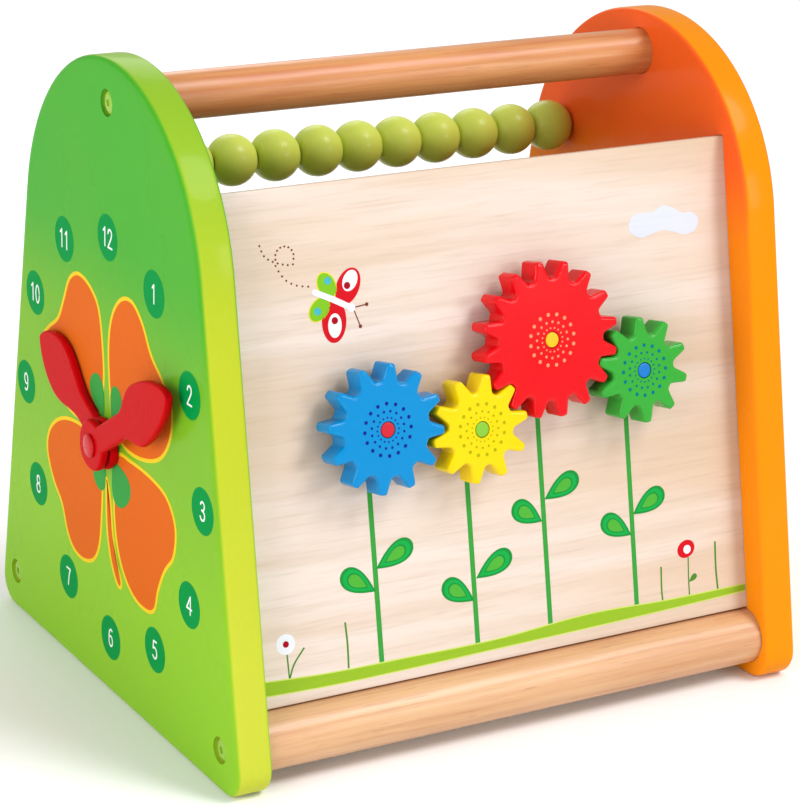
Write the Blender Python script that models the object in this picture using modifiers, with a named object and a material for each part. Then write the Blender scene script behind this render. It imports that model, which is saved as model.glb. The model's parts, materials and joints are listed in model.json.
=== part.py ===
"""Wooden A-frame activity toy: two arched side boards joined by round dowels, a slanted
front panel with four meshing flower gears, a bead rod, and a clock face with two hands.

X runs along the dowels (clock board at -X), the gear panel faces -Y, +Z is up, and Z = 0
is the surface that the boards stand on. Lengths are in metres."""

import math

import bmesh
import bpy
from mathutils import Matrix

MM = 0.001
GAP = 0.3 * MM  # room left between pieces that touch or nest

# Side boards: a base line, two leaning sides and a round top.
LENGTH = 300 * MM  # outer face to outer face
BOARD_DEPTH = 270 * MM
BOARD_HEIGHT = 303 * MM
BOARD_THICKNESS = 17.4 * MM
TOP_RADIUS = 95 * MM
FOOT_RADIUS = 13 * MM
BOARD_EDGE = 2.4 * MM  # rounding of the boards' edges

# Round bars between the boards.
SOCKET_DEPTH = 8 * MM
HANDLE_RADIUS = 11 * MM
HANDLE_Z = 283.3 * MM
FOOT_BAR_RADIUS = 13.5 * MM
FOOT_BAR_Y = 114.5 * MM
FOOT_BAR_Z = 19.5 * MM
ROD_RADIUS = 3 * MM
ROD_Y = 62 * MM
ROD_Z = 233.8 * MM
ROD_SOCKET = 5 * MM

# Screws through the boards into the bars.
SCREW_HEAD_RADIUS = 5.3 * MM
SCREW_HEAD_HEIGHT = 2 * MM
SCREW_RADIUS = 2 * MM
SCREW_REACH = 20 * MM  # length inside a bar
RECESS_RADIUS = 6.2 * MM
RECESS_DEPTH = 3 * MM

# Panels, held in grooves in the boards.
PANEL_THICKNESS = 5 * MM
PANEL_LEAN = math.radians(11.04)
PANEL_FOOT_Y = 114.7 * MM  # outer face at the panel's lower edge
PANEL_FOOT_Z = 34 * MM
FRONT_PANEL_RISE = 227 * MM  # along the slope
REAR_PANEL_RISE = 157 * MM
GROOVE_DEPTH = 5 * MM

# Beads on the rod, against the right board.
BEAD_COUNT = 10
BEAD_RADIUS = 12.75 * MM
BEAD_LENGTH = 21.75 * MM
BEAD_BORE = 3.6 * MM
LOOSE_GAP = 1.2 * MM  # extra room beside the first beads of the row
LOOSE_BEADS = 3

# Flower gears: teeth, tip and root radius, place on the panel, turn of the first tooth.
GEARS = {
    "red": dict(teeth=16, tip=35.4 * MM, root=28.0 * MM, x=21.2 * MM, rise=146.2 * MM, turn=6.8),
    "yellow": dict(teeth=10, tip=24.2 * MM, root=16.8 * MM, x=-18.3 * MM, rise=111.0 * MM, turn=7.5),
    "green": dict(teeth=10, tip=24.2 * MM, root=16.8 * MM, x=69.9 * MM, rise=125.7 * MM, turn=20.0),
    "blue": dict(teeth=12, tip=28.8 * MM, root=21.6 * MM, x=-66.0 * MM, rise=117.9 * MM, turn=21.5),
}
GEAR_BACK = 4 * MM  # clear of the panel's outer face
GEAR_FRONT = 17 * MM
TOOTH_TIP_HALF = 1.85 * MM
TOOTH_BASE_HALF = 3.3 * MM
PIN_HEAD_RADIUS = 3.5 * MM
PIN_HEAD_HEIGHT = 2.2 * MM
PIN_RADIUS = 2.5 * MM
SPACER_RADIUS = 6.5 * MM
RETAINER_HEIGHT = 4 * MM

# Clock on the left board.
CLOCK_Z = 125 * MM
CLOCK_PIN_RADIUS = 3 * MM
CLOCK_PIN_HEAD = 5.5 * MM
HAND_HUB_RADIUS = 12 * MM
HAND_THICKNESS = 3.8 * MM
HAND_EDGE = 0.8 * MM
HOUR_HAND_BACK = 0.8 * MM  # clear of the board's outer face
MINUTE_HAND_BACK = 5.8 * MM
CLOCK_WASHER_BACK = 4.9 * MM
CLOCK_WASHER_HEIGHT = 0.6 * MM
CLOCK_PIN_HEAD_BACK = 9.9 * MM
CLOCK_PIN_HEAD_HEIGHT = 1.5 * MM
HANDS = {
    "hour_hand": dict(
        length=76 * MM, neck=7 * MM, head=15.2 * MM, begin=0.30, widest=0.68, blunt=0.62, turn=155.0
    ),
    "minute_hand": dict(
        length=93 * MM, neck=6.2 * MM, head=14.0 * MM, begin=0.40, widest=0.62, blunt=0.55, turn=31.0
    ),
}

# The hands stand proud on the left, so the boards shift right to centre the whole toy.
CENTRE_X = (CLOCK_PIN_HEAD_BACK + CLOCK_PIN_HEAD_HEIGHT) / 2
LEFT_FACE = CENTRE_X - LENGTH / 2
RIGHT_FACE = CENTRE_X + LENGTH / 2
LEFT_WALL = LEFT_FACE + BOARD_THICKNESS
RIGHT_WALL = RIGHT_FACE - BOARD_THICKNESS

COLOURS = {
    "leaf_green": (0.16, 0.50, 0.06, 1),
    "orange": (0.80, 0.16, 0.01, 1),
    "beech": (0.62, 0.30, 0.12, 1),
    "plywood": (0.85, 0.70, 0.52, 1),
    "lime": (0.32, 0.50, 0.03, 1),
    "red": (0.80, 0.01, 0.02, 1),
    "blue": (0.00, 0.26, 0.66, 1),
    "yellow": (0.98, 0.75, 0.00, 1),
    "green": (0.07, 0.45, 0.06, 1),
    "steel": (0.60, 0.60, 0.58, 1),
    "white": (0.80, 0.80, 0.78, 1),
}


def clear_scene():
    for obj in list(bpy.data.objects):
        bpy.data.objects.remove(obj, do_unlink=True)


def new_collection(name):
    collection = bpy.data.collections.new(name)
    bpy.context.scene.collection.children.link(collection)
    return collection


def material(name, colour, roughness=0.35, metallic=0.0):
    made = bpy.data.materials.new(name)
    made.use_nodes = True
    shader = made.node_tree.nodes["Principled BSDF"]
    shader.inputs["Base Color"].default_value = COLOURS[colour]
    shader.inputs["Roughness"].default_value = roughness
    shader.inputs["Metallic"].default_value = metallic
    made.diffuse_color = COLOURS[colour]
    return made


def add_part(name, mesh, colour, parent=None, location=(0, 0, 0), rotation=(0, 0, 0), metallic=0.0):
    obj = bpy.data.objects.new(name, mesh)
    toy.objects.link(obj)
    obj.parent = parent
    obj.location = location
    obj.rotation_euler = rotation
    mesh.materials.append(material(name, colour, metallic=metallic))
    return obj


def add_empty(name, location, rotation):
    empty = bpy.data.objects.new(name, None)
    toy.objects.link(empty)
    empty.location = location
    empty.rotation_euler = rotation
    return empty


def add_cutter(name, mesh, parent=None, location=(0, 0, 0), rotation=(0, 0, 0)):
    obj = bpy.data.objects.new(name, mesh)
    cutters.objects.link(obj)
    obj.parent = parent
    obj.location = location
    obj.rotation_euler = rotation
    obj.hide_render = True
    obj.display_type = "WIRE"
    return obj


def cut(obj, cutter):
    modifier = obj.modifiers.new("cut_" + cutter.name, "BOOLEAN")
    modifier.operation = "DIFFERENCE"
    modifier.object = cutter


def box_mesh(name, size, centre=(0, 0, 0)):
    mesh = bpy.data.meshes.new(name)
    shape = bmesh.new()
    bmesh.ops.create_cube(shape, size=1, matrix=Matrix.Translation(centre) @ Matrix.Diagonal((*size, 1)))
    shape.to_mesh(mesh)
    shape.free()
    return mesh


def cylinder_mesh(name, radius, low, high, sides=32):
    """A capped cylinder on the Z axis, from height low to height high."""
    mesh = bpy.data.meshes.new(name)
    shape = bmesh.new()
    bmesh.ops.create_cone(
        shape,
        cap_ends=True,
        segments=sides,
        radius1=radius,
        radius2=radius,
        depth=high - low,
        matrix=Matrix.Translation((0, 0, (low + high) / 2)),
    )
    shape.to_mesh(mesh)
    shape.free()
    return mesh


def profile_mesh(name, points, closed=False):
    """A profile of (radius, height) points, to be turned by a Screw modifier."""
    mesh = bpy.data.meshes.new(name)
    edges = [(i, i + 1) for i in range(len(points) - 1)]
    if closed:
        edges.append((len(points) - 1, 0))
    mesh.from_pydata([(r, 0, z) for r, z in points], edges, [])
    return mesh


def turn(obj, sides):
    """Turns the object's profile about its own Z axis."""
    modifier = obj.modifiers.new("turn", "SCREW")
    modifier.axis = "Z"
    modifier.steps = sides
    modifier.render_steps = sides
    modifier.use_merge_vertices = True
    modifier.merge_threshold = 0.00001
    modifier.use_smooth_shade = True


def outline_mesh(name, points, thickness):
    """A closed outline in the XY plane as a plate that is centred on it."""
    curve = bpy.data.curves.new(name, "CURVE")
    curve.dimensions = "2D"
    curve.fill_mode = "BOTH"
    curve.extrude = thickness / 2
    spline = curve.splines.new("POLY")
    spline.points.add(len(points) - 1)
    for point, (x, y) in zip(spline.points, points):
        point.co = (x, y, 0, 1)
    spline.use_cyclic_u = True
    holder = bpy.data.objects.new(name + "_outline", curve)
    toy.objects.link(holder)
    graph = bpy.context.evaluated_depsgraph_get()
    mesh = bpy.data.meshes.new_from_object(holder.evaluated_get(graph))
    bpy.data.objects.remove(holder)
    shape = bmesh.new()
    shape.from_mesh(mesh)
    bmesh.ops.remove_doubles(shape, verts=shape.verts, dist=0.000001)
    bmesh.ops.dissolve_limit(shape, angle_limit=0.001, verts=shape.verts, edges=shape.edges)
    bmesh.ops.recalc_face_normals(shape, faces=shape.faces)
    shape.to_mesh(mesh)
    shape.free()
    mesh.name = name
    return mesh


def round_edges(obj, width, segments):
    modifier = obj.modifiers.new("round_edges", "BEVEL")
    modifier.width = width
    modifier.segments = segments
    modifier.limit_method = "ANGLE"
    modifier.angle_limit = math.radians(70)


def arc(centre, radius, start, end, steps):
    """Points on an arc, with its angles in radians."""
    cx, cy = centre
    angles = [start + (end - start) * i / steps for i in range(steps + 1)]
    return [(cx + radius * math.cos(a), cy + radius * math.sin(a)) for a in angles]


def board_outline():
    """Round top, straight sides that touch it and reach the base corners, round feet."""
    half = BOARD_DEPTH / 2
    top = BOARD_HEIGHT - TOP_RADIUS
    reach = math.hypot(half, top)
    lean = math.atan2(half, top) - math.asin(TOP_RADIUS / reach)
    # A foot's arc touches the base and the leaning side.
    foot_x = half - FOOT_RADIUS * (1 + math.sin(lean)) / math.cos(lean)
    right = arc((foot_x, FOOT_RADIUS), FOOT_RADIUS, -math.pi / 2, lean, 6)
    crown = arc((0, top), TOP_RADIUS, lean, math.pi - lean, 28)
    left = arc((-foot_x, FOOT_RADIUS), FOOT_RADIUS, math.pi - lean, 1.5 * math.pi, 6)
    return right + crown + left


def gear_outline(teeth, tip, root):
    """Tapered teeth with eased tips, and round gullets between them."""
    gullet = root + 1.0 * MM
    flank_top = tip - 1.2 * MM
    slope = (TOOTH_BASE_HALF - TOOTH_TIP_HALF) / (tip - gullet)
    half_tooth = [
        (gullet, TOOTH_BASE_HALF),
        (flank_top, TOOTH_TIP_HALF + slope * (tip - flank_top)),
        (tip - 0.35 * MM, TOOTH_TIP_HALF - 0.3 * MM),
        (tip, TOOTH_TIP_HALF - 1.1 * MM),
    ]
    pitch = 2 * math.pi / teeth
    start = math.asin(TOOTH_BASE_HALF / gullet)
    points = []
    for tooth in range(teeth):
        middle = tooth * pitch
        rising = [(r, middle - math.asin(w / r)) for r, w in half_tooth]
        falling = [(r, middle + math.asin(w / r)) for r, w in reversed(half_tooth)]
        valley = []
        for share in (0.2, 0.5, 0.8):
            lift = 0.2 * MM if share != 0.5 else 0
            valley.append((root + lift, middle + start + (pitch - 2 * start) * share))
        points += [(r * math.cos(a), r * math.sin(a)) for r, a in rising + falling + valley]
    return points


def hand_outline(length, neck, head, begin, widest, blunt):
    """A round hub, a straight neck and a leaf-shaped head that ends in a point.

    begin and widest are shares of the length. A smaller blunt gives a blunter point."""
    leave = math.asin(neck / HAND_HUB_RADIUS)
    points = arc((0, 0), HAND_HUB_RADIUS, leave, 2 * math.pi - leave, 16)
    head_start = begin * length
    peak = (widest - begin) / (1 - begin)
    side = []
    steps = 10
    for i in range(steps):
        share = i / steps
        if share < peak:
            width = neck + (head - neck) * math.sin(0.5 * math.pi * share / peak) ** 2
        else:
            width = head * math.cos(0.5 * math.pi * (share - peak) / (1 - peak)) ** blunt
        side.append((head_start + (length - head_start) * share, width))
    lower = [(x, -w) for x, w in side]
    upper = [(x, w) for x, w in reversed(side)]
    return points + lower + [(length, 0)] + upper


def make_boards():
    outline = board_outline()
    middle = BOARD_THICKNESS / 2
    green = add_part(
        "green_side_board",
        outline_mesh("green_side_board", outline, BOARD_THICKNESS),
        "leaf_green",
        location=(LEFT_FACE + middle, 0, 0),
        rotation=(math.pi / 2, 0, -math.pi / 2),
    )
    orange = add_part(
        "orange_side_board",
        outline_mesh("orange_side_board", outline, BOARD_THICKNESS),
        "orange",
        location=(RIGHT_FACE - middle, 0, 0),
        rotation=(math.pi / 2, 0, math.pi / 2),
    )
    for board in (green, orange):
        round_edges(board, BOARD_EDGE, 2)
    return green, orange


def make_bar(name, y, z, radius, boards):
    """A round bar with a pilot hole in each end, its sockets, its screws and their holes."""
    end = (RIGHT_WALL - LEFT_WALL) / 2 + SOCKET_DEPTH - GAP
    pilot = SCREW_RADIUS + GAP
    pilot_end = end - SCREW_REACH - 2 * MM
    ease = 0.8 * MM
    half = [(0, pilot_end), (pilot, pilot_end), (pilot, end), (radius - ease, end), (radius, end - ease)]
    profile = half + [(r, -h) for r, h in reversed(half)]
    sideways = (0, math.pi / 2, 0)
    bar = add_part(
        name, profile_mesh(name, profile), "beech", location=(CENTRE_X, y, z), rotation=sideways
    )
    turn(bar, 24)
    reach = end + GAP
    socket = add_cutter(
        name + "_socket",
        cylinder_mesh(name + "_socket", radius + GAP, -reach, reach, 24),
        location=(CENTRE_X, y, z),
        rotation=sideways,
    )
    through = add_cutter(
        name + "_screw_hole",
        cylinder_mesh(name + "_screw_hole", SCREW_RADIUS + GAP, -LENGTH, LENGTH, 12),
        location=(CENTRE_X, y, z),
        rotation=sideways,
    )
    for board, face, side in zip(boards, (LEFT_FACE, RIGHT_FACE), ("left", "right")):
        outward = -1 if side == "left" else 1
        recess = add_cutter(
            f"{name}_{side}_recess",
            cylinder_mesh(f"{name}_{side}_recess", RECESS_RADIUS, -RECESS_DEPTH, RECESS_DEPTH, 20),
            location=(face, y, z),
            rotation=(0, outward * math.pi / 2, 0),
        )
        for cutter in (socket, through, recess):
            cut(board, cutter)
        make_screw(f"{name}_{side}_screw", face, y, z, outward)


def make_screw(name, face, y, z, outward):
    """Origin at the board's outer face, +Z outward. The domed head has a round drive hole."""
    seat = -RECESS_DEPTH + GAP
    top = seat + SCREW_HEAD_HEIGHT
    tip = -(BOARD_THICKNESS - SOCKET_DEPTH) - SCREW_REACH
    profile = [
        (0, top - 1.0 * MM),
        (1.9 * MM, top - 1.0 * MM),
        (1.9 * MM, top),
        (3.6 * MM, top),
        (SCREW_HEAD_RADIUS - 0.4 * MM, top - 0.5 * MM),
        (SCREW_HEAD_RADIUS, top - 1.2 * MM),
        (SCREW_HEAD_RADIUS, seat),
        (SCREW_RADIUS, seat),
        (SCREW_RADIUS, tip + 3 * MM),
        (0, tip),
    ]
    screw = add_part(
        name,
        profile_mesh(name, profile),
        "lime",
        location=(face, y, z),
        rotation=(0, outward * math.pi / 2, 0),
    )
    turn(screw, 12)


def make_panel(name, frame, rise, boards):
    """A plywood panel that lies below its frame's XY plane, with its ends in two grooves."""
    width = RIGHT_WALL - LEFT_WALL + 2 * (GROOVE_DEPTH - GAP)
    centre = (0, rise / 2, -PANEL_THICKNESS / 2)
    mesh = box_mesh(name, (width, rise, PANEL_THICKNESS), centre)
    panel = add_part(name, mesh, "plywood", parent=frame)
    round_edges(panel, 0.5 * MM, 1)
    grown = (width + 2 * GAP, rise + 2 * GAP, PANEL_THICKNESS + 2 * GAP)
    groove = add_cutter(name + "_groove", box_mesh(name + "_groove", grown, centre), parent=frame)
    for board in boards:
        cut(board, groove)
    return panel


def make_gear(colour, dot, frame, panel, teeth, tip, root, x, rise, turn_angle):
    """A gear on its pin, with a spacer behind it and a retainer behind the panel."""
    thickness = GEAR_FRONT - GEAR_BACK
    name = colour + "_gear"
    gear = add_part(
        name,
        outline_mesh(name, gear_outline(teeth, tip, root), thickness),
        colour,
        parent=frame,
        location=(x, rise, (GEAR_FRONT + GEAR_BACK) / 2),
        rotation=(0, 0, math.radians(turn_angle)),
    )
    place = dict(parent=frame, location=(x, rise, 0))
    bore = add_cutter(
        name + "_bore", cylinder_mesh(name + "_bore", PIN_RADIUS + GAP, -20 * MM, 20 * MM, 16), **place
    )
    seat_low = GEAR_FRONT - PIN_HEAD_HEIGHT - GAP
    seat = add_cutter(
        name + "_seat",
        cylinder_mesh(name + "_seat", PIN_HEAD_RADIUS + GAP, seat_low, GEAR_FRONT + 2 * MM, 16),
        **place,
    )
    cut(gear, bore)
    cut(gear, seat)
    cut(panel, bore)
    back = -PANEL_THICKNESS - GAP - RETAINER_HEIGHT
    head_low = GEAR_FRONT - PIN_HEAD_HEIGHT
    pin_profile = [
        (0, GEAR_FRONT),
        (PIN_HEAD_RADIUS - 0.3 * MM, GEAR_FRONT),
        (PIN_HEAD_RADIUS, GEAR_FRONT - 0.3 * MM),
        (PIN_HEAD_RADIUS, head_low),
        (PIN_RADIUS, head_low),
        (PIN_RADIUS, back - 1 * MM),
        (0, back - 1 * MM),
    ]
    pin = add_part(name + "_pin", profile_mesh(name + "_pin", pin_profile), dot, **place)
    turn(pin, 16)
    add_ring(name + "_spacer", SPACER_RADIUS, GAP, GEAR_BACK - GAP, "white", place)
    add_ring(name + "_retainer", SPACER_RADIUS, back, -PANEL_THICKNESS - GAP, "white", place)


def add_ring(name, radius, low, high, colour, place, bore=PIN_RADIUS + GAP):
    profile = [(bore, high), (radius, high), (radius, low), (bore, low)]
    ring = add_part(name, profile_mesh(name, profile, closed=True), colour, **place)
    turn(ring, 16)


def make_beads(boards):
    """Ten flattened balls on a rod, pushed against the right board."""
    sideways = (0, math.pi / 2, 0)
    end = (RIGHT_WALL - LEFT_WALL) / 2 + ROD_SOCKET - GAP
    rod = add_part(
        "bead_rod",
        cylinder_mesh("bead_rod", ROD_RADIUS, -end, end, 16),
        "beech",
        location=(CENTRE_X, ROD_Y, ROD_Z),
        rotation=sideways,
    )
    rod.data.shade_smooth()
    rod.data.set_sharp_from_angle(angle=math.radians(40))
    socket = add_cutter(
        "bead_rod_socket",
        cylinder_mesh("bead_rod_socket", ROD_RADIUS + GAP, -end - GAP, end + GAP, 16),
        location=(CENTRE_X, ROD_Y, ROD_Z),
        rotation=sideways,
    )
    for board in boards:
        cut(board, socket)
    half = BEAD_LENGTH / 2
    widest = math.asin(half / BEAD_RADIUS)
    ball = arc((0, 0), BEAD_RADIUS, widest, -widest, 7)
    profile = [(BEAD_BORE, half)] + ball + [(BEAD_BORE, -half)]
    x = RIGHT_WALL - GAP - half
    for number in range(BEAD_COUNT, 0, -1):
        name = f"bead_{number:02d}"
        bead = add_part(
            name,
            profile_mesh(name, profile, closed=True),
            "lime",
            location=(x, ROD_Y, ROD_Z),
            rotation=sideways,
        )
        turn(bead, 20)
        x -= BEAD_LENGTH + GAP
        if number <= LOOSE_BEADS + 1:
            x -= LOOSE_GAP


def make_clock(board):
    """Two hands on one pin through the left board; the frame's +Z points out of the board."""
    face = add_empty("clock_face", (LEFT_FACE, 0, CLOCK_Z), (math.pi / 2, 0, -math.pi / 2))
    place = dict(parent=face, location=(0, 0, 0))
    bore = add_cutter(
        "clock_bore",
        cylinder_mesh("clock_bore", CLOCK_PIN_RADIUS + GAP, -40 * MM, 20 * MM, 16),
        **place,
    )
    cut(board, bore)
    for name, back in (("hour_hand", HOUR_HAND_BACK), ("minute_hand", MINUTE_HAND_BACK)):
        size = dict(HANDS[name])
        angle = math.radians(size.pop("turn"))
        outline = hand_outline(**size)
        hand = add_part(
            name,
            outline_mesh(name, outline, HAND_THICKNESS),
            "red",
            parent=face,
            location=(0, 0, back + HAND_THICKNESS / 2),
            rotation=(0, 0, angle),
        )
        round_edges(hand, HAND_EDGE, 1)
        cut(hand, bore)
    washer_top = CLOCK_WASHER_BACK + CLOCK_WASHER_HEIGHT
    ring_bore = CLOCK_PIN_RADIUS + GAP
    add_ring("clock_washer", 7 * MM, CLOCK_WASHER_BACK, washer_top, "white", place, ring_bore)
    inside = -BOARD_THICKNESS - GAP
    add_ring("clock_retainer", 7.5 * MM, inside - RETAINER_HEIGHT, inside, "white", place, ring_bore)
    top = CLOCK_PIN_HEAD_BACK + CLOCK_PIN_HEAD_HEIGHT
    tip = inside - RETAINER_HEIGHT - 1 * MM
    profile = [
        (0, top),
        (0.6 * CLOCK_PIN_HEAD, top - 0.2 * MM),
        (CLOCK_PIN_HEAD, top - 1.0 * MM),
        (CLOCK_PIN_HEAD, CLOCK_PIN_HEAD_BACK),
        (CLOCK_PIN_RADIUS, CLOCK_PIN_HEAD_BACK),
        (CLOCK_PIN_RADIUS, tip),
        (0, tip),
    ]
    pin = add_part("clock_pin", profile_mesh("clock_pin", profile), "red", **place)
    turn(pin, 16)


clear_scene()
toy = new_collection("activity_frame")
cutters = new_collection("cutters")

boards = make_boards()
make_bar("handle_bar", 0, HANDLE_Z, HANDLE_RADIUS, boards)
make_bar("front_foot_bar", -FOOT_BAR_Y, FOOT_BAR_Z, FOOT_BAR_RADIUS, boards)
make_bar("rear_foot_bar", FOOT_BAR_Y, FOOT_BAR_Z, FOOT_BAR_RADIUS, boards)

# Each panel frame has X along the lower edge, Y up the slope and Z outward.
slope = math.pi / 2 - PANEL_LEAN
front_frame = add_empty("front_panel_frame", (CENTRE_X, -PANEL_FOOT_Y, PANEL_FOOT_Z), (slope, 0, 0))
rear_frame = add_empty("rear_panel_frame", (CENTRE_X, PANEL_FOOT_Y, PANEL_FOOT_Z), (slope, 0, math.pi))
front_panel = make_panel("front_panel", front_frame, FRONT_PANEL_RISE, boards)
make_panel("rear_panel", rear_frame, REAR_PANEL_RISE, boards)

dots = {"red": "yellow", "yellow": "green", "green": "blue", "blue": "red"}
for colour, size in GEARS.items():
    make_gear(
        colour,
        dots[colour],
        front_frame,
        front_panel,
        size["teeth"],
        size["tip"],
        size["root"],
        size["x"],
        size["rise"],
        size["turn"],
    )

make_beads(boards)
make_clock(boards[0])
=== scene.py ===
import json
from math import cos, pi, radians, sin

import bpy
import numpy as np
from mathutils import Matrix, Vector


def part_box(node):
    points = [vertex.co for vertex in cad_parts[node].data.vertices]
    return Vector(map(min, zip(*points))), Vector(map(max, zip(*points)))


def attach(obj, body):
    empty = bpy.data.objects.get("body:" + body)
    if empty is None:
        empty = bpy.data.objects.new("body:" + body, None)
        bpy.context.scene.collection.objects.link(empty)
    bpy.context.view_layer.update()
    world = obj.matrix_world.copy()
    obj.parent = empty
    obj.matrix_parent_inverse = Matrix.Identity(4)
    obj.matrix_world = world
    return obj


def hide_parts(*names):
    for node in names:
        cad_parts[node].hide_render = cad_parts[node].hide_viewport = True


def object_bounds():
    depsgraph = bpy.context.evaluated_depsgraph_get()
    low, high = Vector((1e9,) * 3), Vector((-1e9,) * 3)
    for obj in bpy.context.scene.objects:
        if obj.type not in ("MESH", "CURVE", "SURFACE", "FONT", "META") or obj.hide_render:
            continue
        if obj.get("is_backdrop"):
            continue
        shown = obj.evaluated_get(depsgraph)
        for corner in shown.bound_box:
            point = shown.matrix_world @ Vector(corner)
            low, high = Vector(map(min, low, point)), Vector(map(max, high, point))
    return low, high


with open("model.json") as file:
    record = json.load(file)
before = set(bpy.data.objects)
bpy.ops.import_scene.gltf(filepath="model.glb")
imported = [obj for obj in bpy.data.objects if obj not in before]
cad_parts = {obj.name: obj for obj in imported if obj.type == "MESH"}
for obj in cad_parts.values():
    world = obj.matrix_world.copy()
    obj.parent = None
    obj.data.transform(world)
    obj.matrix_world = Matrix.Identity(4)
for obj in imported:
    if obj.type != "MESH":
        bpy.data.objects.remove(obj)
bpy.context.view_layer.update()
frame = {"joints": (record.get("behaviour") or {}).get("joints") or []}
mm = 0.001
spins = {joint["name"]: joint for joint in frame["joints"]}

# The toy stands on the floor. +X runs from the clock board to the orange board, -Y faces the gears' side.


# Colour and shader helpers.

lightShare = 0.86  # a matt surface in this light sends back a little more than its own colour


def paint(red, green, blue):
    # a screen colour, 0 to 255, as the linear colour that a shader takes
    share = np.array([red, green, blue]) / 255
    linear = np.where(share < 0.04045, share / 12.92, ((share + 0.055) / 1.055) ** 2.4)
    return (*(lightShare * linear).tolist(), 1.0)


def shade(colour, share):
    return tuple(min(1.0, c * share) for c in colour[:3]) + (1.0,)


def addNode(tree, kind, inputs=None, **settings):
    made = tree.nodes.new("ShaderNode" + kind)
    for key, value in settings.items():
        setattr(made, key, value)
    for key, value in (inputs or {}).items():
        if isinstance(value, bpy.types.NodeSocket):
            tree.links.new(value, made.inputs[key])
        else:
            made.inputs[key].default_value = value
    return made


def combine(tree, operation, first, second):
    return addNode(tree, "Math", {0: first, 1: second}, operation=operation).outputs[0]


def noise(tree, spot, scale, detail, stretch=(1, 1, 1), roughness=0.5):
    if stretch != (1, 1, 1):
        spot = addNode(tree, "Mapping", {"Vector": spot, "Scale": stretch}).outputs[0]
    values = {"Vector": spot, "Scale": scale, "Detail": detail, "Roughness": roughness}
    return addNode(tree, "TexNoise", values).outputs[0]


def spread(tree, value, low, high, fromLow=0.0, fromHigh=1.0, smooth=False):
    values = {0: value, 1: fromLow, 2: fromHigh, 3: low, 4: high}
    kind = "SMOOTHSTEP" if smooth else "LINEAR"
    return addNode(tree, "MapRange", values, interpolation_type=kind).outputs[0]


def blendColour(tree, share, first, second):
    values = {"Factor": share, "A": first, "B": second}
    return addNode(tree, "Mix", values, data_type="RGBA").outputs["Result"]


def tint(tree, tone, pattern, amount, start, end, colour, smooth=False):
    # where the pattern rises from start to end, the tone goes over to the colour by that amount
    return blendColour(tree, spread(tree, pattern, 0.0, amount, start, end, smooth), tone, colour)


def startMaterial(name, coat=0.0, coatRoughness=0.1, metallic=0.0, ior=1.3):
    made = bpy.data.materials.new(name)
    made.use_nodes = True
    tree = made.node_tree
    shader = tree.nodes["Principled BSDF"]
    shader.inputs["Coat Weight"].default_value = coat
    shader.inputs["Coat Roughness"].default_value = coatRoughness
    shader.inputs["Metallic"].default_value = metallic
    shader.inputs["IOR"].default_value = ior
    return made, tree, addNode(tree, "TexCoord").outputs["Object"]


def finishMaterial(made, tone, roughness, layers):
    # the bump's layers are (height, strength, depth in metres), one on top of the other
    tree = made.node_tree
    shader = tree.nodes["Principled BSDF"]
    normal = None
    for height, strength, depth in layers:
        values = {"Height": height, "Strength": strength, "Distance": depth}
        if normal is not None:
            values["Normal"] = normal
        normal = addNode(tree, "Bump", values).outputs[0]
    sockets = {"Base Color": tone, "Roughness": roughness, "Normal": normal, "Coat Normal": normal}
    for socket, value in sockets.items():
        tree.links.new(value, shader.inputs[socket])
    return made


# Materials.

def lacquer(name, colour, mottle, grain, roughness=0.26, coat=0.2, ior=1.3):
    # Sprayed gloss lacquer: slow mottling, fine orange peel, and the wood's grain faintly showing through.
    made, tree, spot = startMaterial(name, coat, 0.07, ior=ior)
    patches = noise(tree, spot, 34, 4)
    fibres = noise(tree, spot, 260, 4, stretch=(0.06, 1, 1))
    peel = noise(tree, spot, 900, 2)
    tone = blendColour(tree, patches, shade(colour, 1 - mottle), shade(colour, 1 + mottle))
    tone = tint(tree, tone, fibres, 0.10, 0.5, 0.75, shade(colour, 0.72))
    gloss = spread(tree, patches, roughness * 0.5, roughness * 1.5)
    return finishMaterial(made, tone, gloss, [(fibres, grain, 0.00005), (peel, 0.25, 0.00002)])


def twoToneLacquer(name, faces, edges, faceStops, edgeStops, low, high):
    # Faces and edges list colours up the board at the heights in their stops; some stops hold painted light and
    # painted shade, noted with the side boards' colours.
    # The edge band lies between both faces, from low to high along X.
    made, tree, spot = startMaterial(name, 0.08, 0.1, ior=1.1)
    axes = addNode(tree, "SeparateXYZ", {0: spot}).outputs
    tones = []
    for colours, stops in ((faces, faceStops), (edges, edgeStops)):
        tone = colours[0]
        for lower, upper, colour in zip(stops, stops[1:], colours[1:]):
            tone = tint(tree, tone, axes[2], 1, lower, upper, colour, smooth=True)
        tones.append(tone)
    fromLow = spread(tree, axes[0], 0, 1, low + 0.5 * mm, low + 1.9 * mm, smooth=True)
    fromHigh = spread(tree, axes[0], 1, 0, high - 1.9 * mm, high - 0.5 * mm, smooth=True)
    edge = combine(tree, "MINIMUM", fromLow, fromHigh)
    patches = noise(tree, spot, 9, 4)
    fibres = noise(tree, spot, 700, 4, stretch=(1, 1, 0.12))
    peel = noise(tree, spot, 800, 2)
    tone = blendColour(tree, edge, *tones)
    tone = tint(tree, tone, patches, 0.12, 0.0, 1.0, shade(edges[0], 0.9))
    tone = tint(tree, tone, fibres, 0.06, 0.5, 0.8, shade(faces[0], 0.6))
    gloss = spread(tree, patches, 0.16, 0.40)
    return finishMaterial(made, tone, gloss, [(fibres, 0.08, 0.00005), (peel, 0.25, 0.00002)])


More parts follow.
